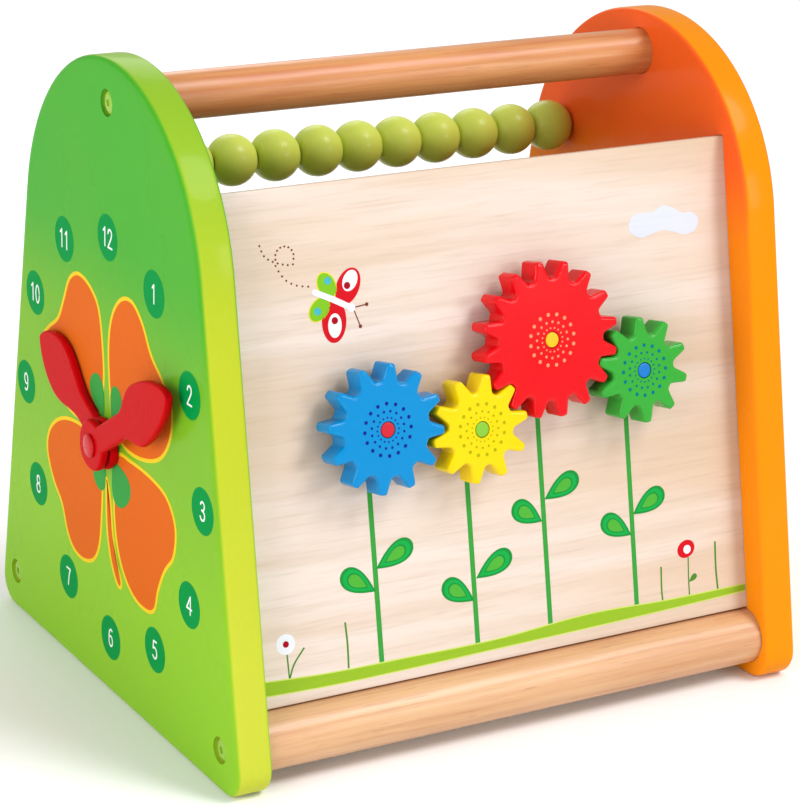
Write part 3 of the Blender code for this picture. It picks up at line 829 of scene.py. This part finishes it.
clock = {
    "hub radius": 12 * mm,
    "thickness": 3.8 * mm,
    "edge": 1.3 * mm,
    "colour": paint(202, 6, 14),
    "pin head": (5.5 * mm, 11.4 * mm, 9.9 * mm),  # radius, top, underside
    "pin shank": 3 * mm,
    "washer": (7 * mm, 3.3 * mm, 4.9 * mm, 5.5 * mm),  # outer and inner radius, underside, top
    "retainer": (7.5 * mm, 3.3 * mm, 4 * mm),  # outer and inner radius, height
    "hour": dict(length=76, neck=7.0, head=15.2, begin=0.30, widest=0.68, blunt=0.62, turn=155.0, back=0.8),
    "minute": dict(length=93, neck=6.2, head=14.0, begin=0.40, widest=0.62, blunt=0.55, turn=31.0, back=5.8),
}
handPaint = lacquer(
    "red hand lacquer", clock["colour"], mottle=0.03, grain=0.05, roughness=0.3, coat=0.03, ior=1.08
)
clockSpot = dict(outsideLeft, origin=(leftFace, *spins["hour_hand_spin"]["pos_m"][1:]))


def handRows(length, neck, head, begin, widest, blunt, turn, back):
    # Half the width along the hand is the larger of the hub's circle and a straight neck that swells by a
    # squared sine to its widest place and falls by a power of a cosine to the tip. Each section is a rounded
    # rectangle.
    length, neck, head = length * mm, neck * mm, head * mm
    hubRadius, edge, thick = clock["hub radius"], clock["edge"], clock["thickness"]
    ease = (1 - np.cos(np.linspace(0.02, pi - 0.02, 150))) / 2
    along = -hubRadius + (length + hubRadius) * ease
    share = np.clip((along / length - begin) / (1 - begin), 0, 1)
    peak = (widest - begin) / (1 - begin)
    swell = neck + (head - neck) * np.sin(pi / 2 * np.clip(share / peak, 0, 1)) ** 2
    fall = head * np.cos(pi / 2 * np.clip((share - peak) / (1 - peak), 0, 1)) ** blunt
    stem = np.where(share < peak, swell, fall)
    circle = np.sqrt(np.clip(hubRadius ** 2 - along ** 2, 0, None))
    half = np.where(along < 0, circle, (circle ** 6 + stem ** 6) ** (1 / 6))
    corner = np.minimum(edge, half * 0.98)
    tall = thick / 2 - edge + np.sqrt(edge ** 2 - (edge - corner) ** 2)
    steps = np.linspace(0, pi / 2, 6)
    halfTurn = np.concatenate([steps, [pi / 2] * 3, steps + pi / 2])
    angle = np.concatenate([halfTurn, halfTurn + pi])
    shareA = np.concatenate([[1] * 6, [0.93, 0, -0.93], [-1] * 12, [-0.93, 0, 0.93], [1] * 6])
    shareB = np.concatenate([[1] * 15, [-1] * 15])
    wide = (half - corner)[:, None] * shareA + corner[:, None] * np.cos(angle)
    level = np.clip(tall - corner, 0, None)[:, None] * shareB
    level = level + np.minimum(corner, tall)[:, None] * np.sin(angle)
    turn = radians(turn)
    long = np.broadcast_to(along[:, None], wide.shape)
    across, up = long * cos(turn) - wide * sin(turn), long * sin(turn) + wide * cos(turn)
    return np.stack([across, up, back * mm + thick / 2 + level], axis=-1)


for name in ("hour", "minute"):
    rows = place(handRows(**clock[name]), **clockSpot)
    node = f"{name}_hand"
    hand = makeSingle(f"{name}Hand", rows, node, handPaint, node, sharp=60)
    bore = turnedRows([(3.3 * mm, -mm), (3.3 * mm, 12 * mm)], 40)
    cutPiece(hand, [(place(bore, **clockSpot), False)])

(pinHead, pinTop, pinUnder), shank = clock["pin head"], clock["pin shank"]
dome = [(pinHead * sin(a), pinTop - 1.1 * mm * (1 - cos(a)) ** 1.2) for a in np.linspace(0.02, pi / 2, 12)]
pinEnd = leftFace - leftWall - 5.3 * mm
profile = dome + [(pinHead, pinUnder), (shank, pinUnder), (shank, pinEnd + 0.4 * mm), (shank - 0.4 * mm, pinEnd)]
pinPlastic = plastic("red pin plastic", clock["colour"], roughness=0.25)
rows = place(turnedRows(profile, 48), **clockSpot)
makeSingle("clockPin", rows, "frame", pinPlastic, "clock_pin")
makeRing("clockWasher", "clock_washer", clockSpot, *clock["washer"])
radius, bore, height = clock["retainer"]
top = leftFace - leftWall - 0.3 * mm
makeRing("clockRetainer", "clock_retainer", clockSpot, radius, bore, top - height, top)
print("clock hands made")


# Prints on the front panel: thin films of ink, higher layers later.
# Lengths are in mm from the panel's lower edge.

film = {"first": 0.05, "step": 0.03, "sunk": -0.06}
meadow = {
    "grass": ink("grass ink", paint(152, 190, 48)),
    "grass rim": ink("grass rim ink", paint(208, 224, 110)),
    "stem": ink("stem ink", paint(62, 160, 66)),
    "leaf rim": ink("leaf rim ink", paint(34, 146, 62)),
    "leaf": ink("leaf ink", paint(30, 172, 76)),
    "leaf core": ink("leaf core ink", paint(84, 178, 62)),
    "white": ink("white ink", paint(240, 241, 247)),
    "cloud": ink("cloud ink", paint(224, 228, 240)),
    "red": ink("red ink", paint(214, 28, 38)),
    "dark red": ink("dark red ink", paint(170, 20, 36)),
    "lime": ink("lime ink", paint(132, 196, 44)),
    "yellow": ink("yellow ink", paint(236, 222, 60)),
    "cyan": ink("cyan ink", paint(76, 186, 200)),
    "brown": ink("brown ink", paint(120, 62, 44)),
    "thin": ink("thin stalk ink", paint(84, 140, 50)),
}


def printMarks(name, marks, inks, spot):
    # marks are (ink, height of its top in mm, kind, shape): an outline to fill, or a path with its widths
    numbers = {tone: number for number, tone in enumerate(inks)}
    shells = []
    for tone, top, kind, *shape in marks:
        shape = [np.asarray(part) * mm for part in shape]
        makeRows = filmRows if kind == "fill" else ribbonRows
        rows = makeRows(*shape, film["sunk"] * mm, top * mm)
        shells.append((place(rows, **spot), False, numbers[tone]))
    makePiece(name, shells, "frame", list(inks.values()))


def printPanel(name, marks):
    # the panel's marks give their layer in place of a height
    raised = [(tone, film["first"] + film["step"] * layer, *shape) for tone, layer, *shape in marks]
    printMarks(name, raised, meadow, onPanel)


def leafOutline(base, tip, width, inset=0.0):
    # A pear shape from its base to its tip: width times sine times the square root of the way along.
    base, tip = np.asarray(base, float), np.asarray(tip, float)
    t = np.linspace(0, 2 * pi, 60, endpoint=False)
    length = np.linalg.norm(tip - base)
    along = (1 - np.cos(t)) / 2
    side = 0.72 * width * np.sin(t) * along ** 0.55
    direction = (tip - base) / length
    across = np.array([-direction[1], direction[0]])
    points = base + along[:, None] * length * direction + side[:, None] * across
    if not inset:
        return points
    shrink = 1 - 2.1 * inset / width
    return points.mean(0) + (points - points.mean(0)) * shrink + direction * inset * 0.2


leaves = [
    # base, tip, width
    ((-68.9, 43.2), (-85.6, 54.0), 9.9), ((-67.9, 53.2), (-48.6, 62.4), 9.7),
    ((-18.6, 30.0), (-34.4, 40.6), 9.9), ((-16.9, 40.0), (2.6, 49.0), 9.7),
    ((20.2, 60.4), (4.9, 70.2), 9.9), ((22.2, 70.4), (41.2, 79.0), 9.7),
    ((68.6, 46.0), (52.6, 56.2), 9.9), ((70.2, 55.6), (88.2, 64.4), 9.7),
]
stems = [(-68.4, 10, 112), (-18.2, 10, 104), (21.2, 12, 138), (69.4, 10, 118)]  # x, lower end, upper end
grassLow = smoothPath([(-131, 6.3), (-95, 5.2), (-55, 5.2), (0, 5.8), (60, 6.4), (100, 7.2), (132, 8.4)])
grassHigh = smoothPath([
    (-131, 12.4), (-95, 10.4), (-60, 10.0), (-18, 9.7), (25, 12.4), (75, 11.2), (132, 11.2)
])

marks = []
for x, low, high in stems:
    marks.append(("stem", 0, "path", [(x, low), (x, high)], 2.5))
middle = (grassLow + grassHigh) / 2
tall = grassHigh[:, 1] - grassLow[:, 1]
marks.append(("grass rim", 1, "path", middle, tall + 1.2))
marks.append(("grass", 2, "path", middle, tall))
for base, tip, width in leaves:
    marks.append(("leaf rim", 1, "fill", leafOutline(base, tip, width)))
    marks.append(("leaf", 2, "fill", leafOutline(base, tip, width, 0.8)))
    marks.append(("leaf rim", 3, "fill", leafOutline(base, tip, width, 1.9)))
    marks.append(("leaf core", 4, "fill", leafOutline(base, tip, width, 2.35)))
printPanel("meadowPrint", marks)

blades = [
    # the small flowers' stalks and blades of grass: path, width
    ([(-115.2, 23.0), (-114.9, 12.0)], 0.7), ([(-114.7, 12.0), (-112.0, 18.0), (-106.5, 24.4)], 0.8),
    ([(-85.3, 11), (-85.0, 22), (-85.4, 32.0)], 0.9), ([(100.0, 30.0), (99.6, 20), (99.6, 9.9)], 0.7),
    ([(84.2, 9.9), (83.9, 18), (84.3, 28.0)], 0.9), ([(116.2, 10.5), (115.6, 22), (115.9, 35.0)], 1.0),
]
marks = [("thin", 0, "path", smoothPath(path), width) for path, width in blades]
marks += [
    ("white", 1, "fill", disc((-115.5, 27.5), 4.7, 32)),
    ("dark red", 2, "fill", disc((-115.4, 27.5), 1.5, 20)),
    ("red", 1, "fill", disc((99.0, 34.2), 5.0, 36, 0.84, 0.3)),
    ("white", 2, "fill", disc((99.6, 33.9), 2.1, 24)),
    ("thin", 1, "fill", leafOutline((99.8, 18.0), (104.2, 21.0), 2.6)),
]
printPanel("smallFlowersPrint", marks)

cloud = [
    (77, 190.6), (80, 195), (87, 195.6), (91.5, 195.6), (96.5, 198.0), (102, 196.3), (107, 193.6), (113, 193),
    (116.2, 189.2), (113.8, 184.6), (108, 183.2), (102.5, 185.0), (96, 186.4), (90, 185.6), (84, 184.4),
    (78.6, 186.6),
]
printPanel("cloudPrint", [("cloud", 1, "fill", smoothLoop(cloud, 8))])

# The butterfly lies along its body, head to the right and low.
wings = [
    # centre, longer radius, flattening, turn in degrees; then its white patch and dot
    ((-71.6, 180.6), 8.6, 0.66, 60, (-70.4, 183.0), 4.9, 0.72, (-72.0, 181.0)),
    ((-79.6, 166.2), 9.6, 0.63, 86, (-79.4, 164.2), 5.4, 0.62, (-79.3, 166.4)),
]
marks = []
for centre, radius, flat, turn, patch, patchRadius, patchFlat, dot in wings:
    marks.append(("red", 1, "fill", disc(centre, radius, 40, flat, radians(turn))))
    marks.append(("white", 2, "fill", disc(patch, patchRadius, 32, patchFlat, radians(turn))))
    marks.append(("dark red", 3, "fill", disc(dot, 1.6, 20)))
smallWings = [((-82.0, 182.2), 5.9, 115, (-81.4, 184.2)), ((-86.4, 172.2), 5.8, 45, (-87.4, 171.4))]
for centre, radius, turn, dot in smallWings:
    marks.append(("yellow", 1, "fill", disc(centre, radius + 0.5, 30, 0.72, radians(turn))))
    marks.append(("lime", 2, "fill", disc(centre, radius, 30, 0.70, radians(turn))))
    marks.append(("cyan", 3, "fill", disc(dot, 1.7, 20)))
marks.append(("white", 4, "path", smoothPath([(-88.4, 180.0), (-80, 176.0), (-71.0, 171.2)]), 2.7))
marks.append(("white", 5, "fill", disc((-88.0, 179.8), 1.5, 20)))
marks.append(("white", 5, "fill", disc((-70.6, 171.0), 1.9, 20)))
for tip in ((-62.9, 171.6), (-66.8, 162.3)):
    marks.append(("brown", 0, "path", [(-69.8, 170.9), tip], 0.55))
    marks.append(("brown", 1, "fill", disc(tip, 0.85, 16)))
printPanel("butterflyPrint", marks)

# The dotted trail: a curl that swings in, loops once and runs on to the butterfly.
trailIn = smoothPath([(-113, 203), (-111.2, 198.4), (-107, 195.4), (-101, 193.4), (-97.6, 193.3)])
trailLoop = arcPoints((-101.4, 197.0), 4.5, -0.3, 3.3, 60)
trailOut = smoothPath([(-106.0, 193.6), (-104.6, 190.8), (-101.4, 186.6), (-96.5, 183.9), (-91.0, 182.8)])


def evenDots(path, gap):
    length = np.concatenate([[0], np.cumsum(np.linalg.norm(np.diff(path, axis=0), axis=1))])
    steps = np.linspace(0, length[-1], int(length[-1] / gap) + 1)
    return np.stack([np.interp(steps, length, path[:, k]) for k in (0, 1)], axis=1)


trail = np.vstack([evenDots(trailIn, 2.4), evenDots(trailLoop, 2.0), evenDots(trailOut, 2.7)])
printPanel("trailPrint", [("brown", 0, "fill", disc(spot, 0.5, 10)) for spot in trail])
print("meadow printed")


# Prints on the clock face. Lengths are in mm: across to the right as seen from outside, up from the floor.

dial = {
    "petal": ink("petal ink", paint(226, 106, 28)),
    "petal rim": ink("petal rim ink", paint(244, 208, 44)),
    "sepal": ink("sepal ink", paint(62, 160, 72)),
    "hour disc": ink("hour disc ink", paint(0, 150, 68)),
    "numeral": ink("numeral ink", paint(246, 250, 246)),
}
onDial = dict(outsideLeft, origin=(leftFace, 0, 0))
clockHeight = spins["hour_hand_spin"]["pos_m"][2] / mm
petals = [
    [(-5, 150), (-5.6, 170), (-10, 187), (-20, 195), (-33, 197.5), (-44, 192), (-51, 180), (-58, 169),
     (-70, 161), (-79, 151), (-72, 139), (-55, 129.5), (-36, 125.5), (-14, 130)],
    [(0.5, 150), (-0.6, 172), (4, 188), (14, 198), (26, 200), (37, 193), (46, 181), (57, 173),
     (67, 163), (66, 148), (56, 135), (38, 128), (18, 127), (5, 134)],
    [(8, 122), (24, 124.4), (46, 123.6), (62, 119.5), (71, 108), (69, 93), (60, 83), (53, 71),
     (49, 60), (40, 56), (26, 57.6), (14, 66), (6.5, 80), (4, 100)],
    [(-10, 120), (-30, 124.5), (-52, 121.5), (-68, 112), (-73, 99), (-66, 85), (-56, 76), (-50, 64),
     (-42, 57), (-30, 55.6), (-18, 60), (-11, 70), (-8, 86), (-6.8, 104)],
    [(-3.6, 108), (-4.4, 90), (-2.6, 76), (1.6, 65), (8, 57), (12.6, 57), (13.4, 61.5), (8.4, 70),
     (4.4, 82), (1.6, 100)],
]
sepals = [
    # base, tip, width
    ((-5.5, 135.5), (-17, 153), 14.0), ((3.5, 137), (10.5, 154), 10.5),
    ((4.5, 118), (18, 100), 20.0), ((-5, 116), (-14, 99.5), 12.5),
]
hourRing = {"radius": 97.0, "disc": 10.7, "numeral height": 8.4, "stroke": 0.95}


def hourPlace(hour):
    angle = radians(90 - 30 * hour)
    return np.array([hourRing["radius"] * cos(angle), clockHeight + hourRing["radius"] * sin(angle)])


marks = []
for number, outline in enumerate(petals):
    outline = evenOutline(smoothLoop(outline, 16), 160, 1.2)
    top = film["first"] + film["step"] * number
    marks.append(("petal rim", top, "fill", outline))
    marks.append(("petal", top + 0.015, "fill", insetOutline(outline, 1.8)))
marks += [("sepal", 0.25, "fill", leafOutline(*sepal)) for sepal in sepals]
printMarks("cloverPrint", marks, dial, onDial)

marks = [("hour disc", 0.07, "fill", disc(hourPlace(hour), hourRing["disc"], 72)) for hour in range(1, 13)]
printMarks("hourDiscs", marks, {"hour disc": dial["hour disc"]}, onDial)

# Strokes of each figure in a box one high: a smooth or a straight run of points, or an ellipse.
figures = {
    "0": [("oval", (0.28, 0.5), 0.24, 0.5)],
    "1": [("line", (0.10, 0.80), (0.30, 1.0)), ("line", (0.30, 1.0), (0.30, 0.0))],
    "2": [
        ("bend", (0.04, 0.76), (0.12, 0.94), (0.29, 1.0), (0.46, 0.91), (0.49, 0.71), (0.36, 0.46),
         (0.03, 0.0)),
        ("line", (0.03, 0.0), (0.54, 0.0)),
    ],
    "3": [
        ("bend", (0.05, 0.84), (0.16, 0.97), (0.32, 1.0), (0.48, 0.88), (0.47, 0.68), (0.34, 0.55),
         (0.20, 0.53)),
        ("bend", (0.20, 0.53), (0.42, 0.48), (0.53, 0.30), (0.46, 0.08), (0.28, 0.0), (0.12, 0.03),
         (0.02, 0.15)),
    ],
    "4": [
        ("line", (0.42, 0.0), (0.42, 1.0)), ("line", (0.42, 1.0), (0.0, 0.30)),
        ("line", (0.0, 0.30), (0.58, 0.30)),
    ],
    "5": [
        ("line", (0.48, 1.0), (0.13, 1.0)), ("line", (0.13, 1.0), (0.07, 0.56)),
        ("bend", (0.07, 0.56), (0.26, 0.63), (0.45, 0.54), (0.52, 0.33), (0.45, 0.10), (0.26, 0.0),
         (0.02, 0.11)),
    ],
    "6": [(
        "bend", (0.47, 0.95), (0.30, 1.0), (0.13, 0.85), (0.05, 0.5), (0.09, 0.15), (0.28, 0.0),
        (0.46, 0.11), (0.51, 0.32), (0.43, 0.53), (0.27, 0.60), (0.11, 0.50), (0.06, 0.36)
    )],
    "7": [("line", (0.02, 1.0), (0.52, 1.0)), ("bend", (0.52, 1.0), (0.34, 0.55), (0.22, 0.0))],
    "8": [("oval", (0.28, 0.765), 0.19, 0.235), ("oval", (0.28, 0.265), 0.24, 0.265)],
}
figures["9"] = [(kind, *[(0.56 - x, 1 - y) for x, y in run]) for kind, *run in figures["6"]]
figureWidth = 0.56


def strokePath(kind, *run):
    if kind == "oval":
        centre, wide, tall = run
        return arcPoints((0, 0), 1.0, 0, 2 * pi, 40) * (wide, tall) + centre
    return smoothPath(run, 8) if kind == "bend" else np.array(run)


marks = []
size, stroke = hourRing["numeral height"], hourRing["stroke"]
advance = 0.66 * size
for hour in range(1, 13):
    digits = str(hour)
    start = hourPlace(hour) - (((len(digits) - 1) * advance + figureWidth * size) / 2, size / 2)
    for spotNumber, digit in enumerate(digits):
        for number, run in enumerate(figures[digit]):
            path = strokePath(*run) * size + start + (spotNumber * advance, 0)
            top = 0.11 + 0.01 * number
            marks.append(("numeral", top, "path", path, stroke))
            for end in (path[0], path[-1]):
                marks.append(("numeral", top + 0.005, "fill", disc(end, stroke / 2, 14)))
printMarks("hourNumerals", marks, {"numeral": dial["numeral"]}, onDial)
print("clock face printed")


# Floor, light and camera.

studio = {
    "floor": (0.95, 0.95, 0.95, 1),
    "world": 0.56,
    "camera": dict(azimuth=-30.28, elevation=18.95, roll=1.53, distance=1.371, lens=126.5),
    "aim": (middleX + 3.18 * mm, 0.0, 120.82 * mm),
    "sun": dict(azimuth=42, elevation=52, strength=1.7, angle=24),
    # name, azimuth, elevation, distance, size, power
    "lights": [
        ("window", -68, 16, 1.5, 0.8, 10.0),
        ("front", 30, 15, 1.7, 0.45, 5.0),
        ("rear", 165, 35, 1.8, 0.9, 6.0),
    ],
}


def around(azimuth, elevation):
    a, e = radians(azimuth), radians(elevation)
    return Vector((sin(a) * cos(e), -cos(a) * cos(e), sin(e)))


ground = bpy.data.meshes.new("floor")
ground.from_pydata([(-8, -8, 0), (8, -8, 0), (8, 8, 0), (-8, 8, 0)], [], [(0, 1, 2, 3)])
floor = bpy.data.objects.new("floor", ground)
bpy.context.scene.collection.objects.link(floor)
floorPaint, tree, spot = startMaterial("pale floor")
shader = tree.nodes["Principled BSDF"]
patches = blendColour(tree, noise(tree, spot, 3, 2), studio["floor"], shade(studio["floor"], 0.985))
tree.links.new(patches, shader.inputs["Base Color"])
shader.inputs["Roughness"].default_value = 0.9
ground.materials.append(floorPaint)
floor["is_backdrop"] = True

world = bpy.data.worlds.new("studio")
world.use_nodes = True
world.node_tree.nodes["Background"].inputs[0].default_value = (1, 1, 1, 1)
world.node_tree.nodes["Background"].inputs[1].default_value = studio["world"]
bpy.context.scene.world = world
aim = Vector(studio["aim"])


def hangLamp(name, kind, power, direction, distance):
    lamp = bpy.data.lights.new(name, kind)
    lamp.energy = power
    holder = bpy.data.objects.new(name, lamp)
    bpy.context.scene.collection.objects.link(holder)
    holder.location = aim + direction * distance
    holder.rotation_euler = direction.to_track_quat("Z", "Y").to_euler()
    return lamp


for name, azimuth, elevation, distance, size, power in studio["lights"]:
    hangLamp(name, "AREA", power, around(azimuth, elevation), distance).size = size
daylight = studio["sun"]
direction = around(daylight["azimuth"], daylight["elevation"])
hangLamp("sun", "SUN", daylight["strength"], direction, 3).angle = radians(daylight["angle"])

view = studio["camera"]
lens = bpy.data.cameras.new("camera")
lens.lens = view["lens"]
lens.sensor_width = 36
lens.clip_end = 100
camera = bpy.data.objects.new("camera", lens)
bpy.context.scene.collection.objects.link(camera)
back = around(view["azimuth"], view["elevation"])
right = Vector((cos(radians(view["azimuth"])), sin(radians(view["azimuth"])), 0))
up = back.cross(right)
roll = radians(view["roll"])
right, up = right * cos(roll) + up * sin(roll), up * cos(roll) - right * sin(roll)
turned = Matrix((right, up, back)).transposed().to_4x4()
camera.matrix_world = Matrix.Translation(aim + back * view["distance"]) @ turned
bpy.context.scene.camera = camera
bpy.context.scene.view_settings.view_transform = "Standard"
print("studio ready")

low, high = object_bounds()
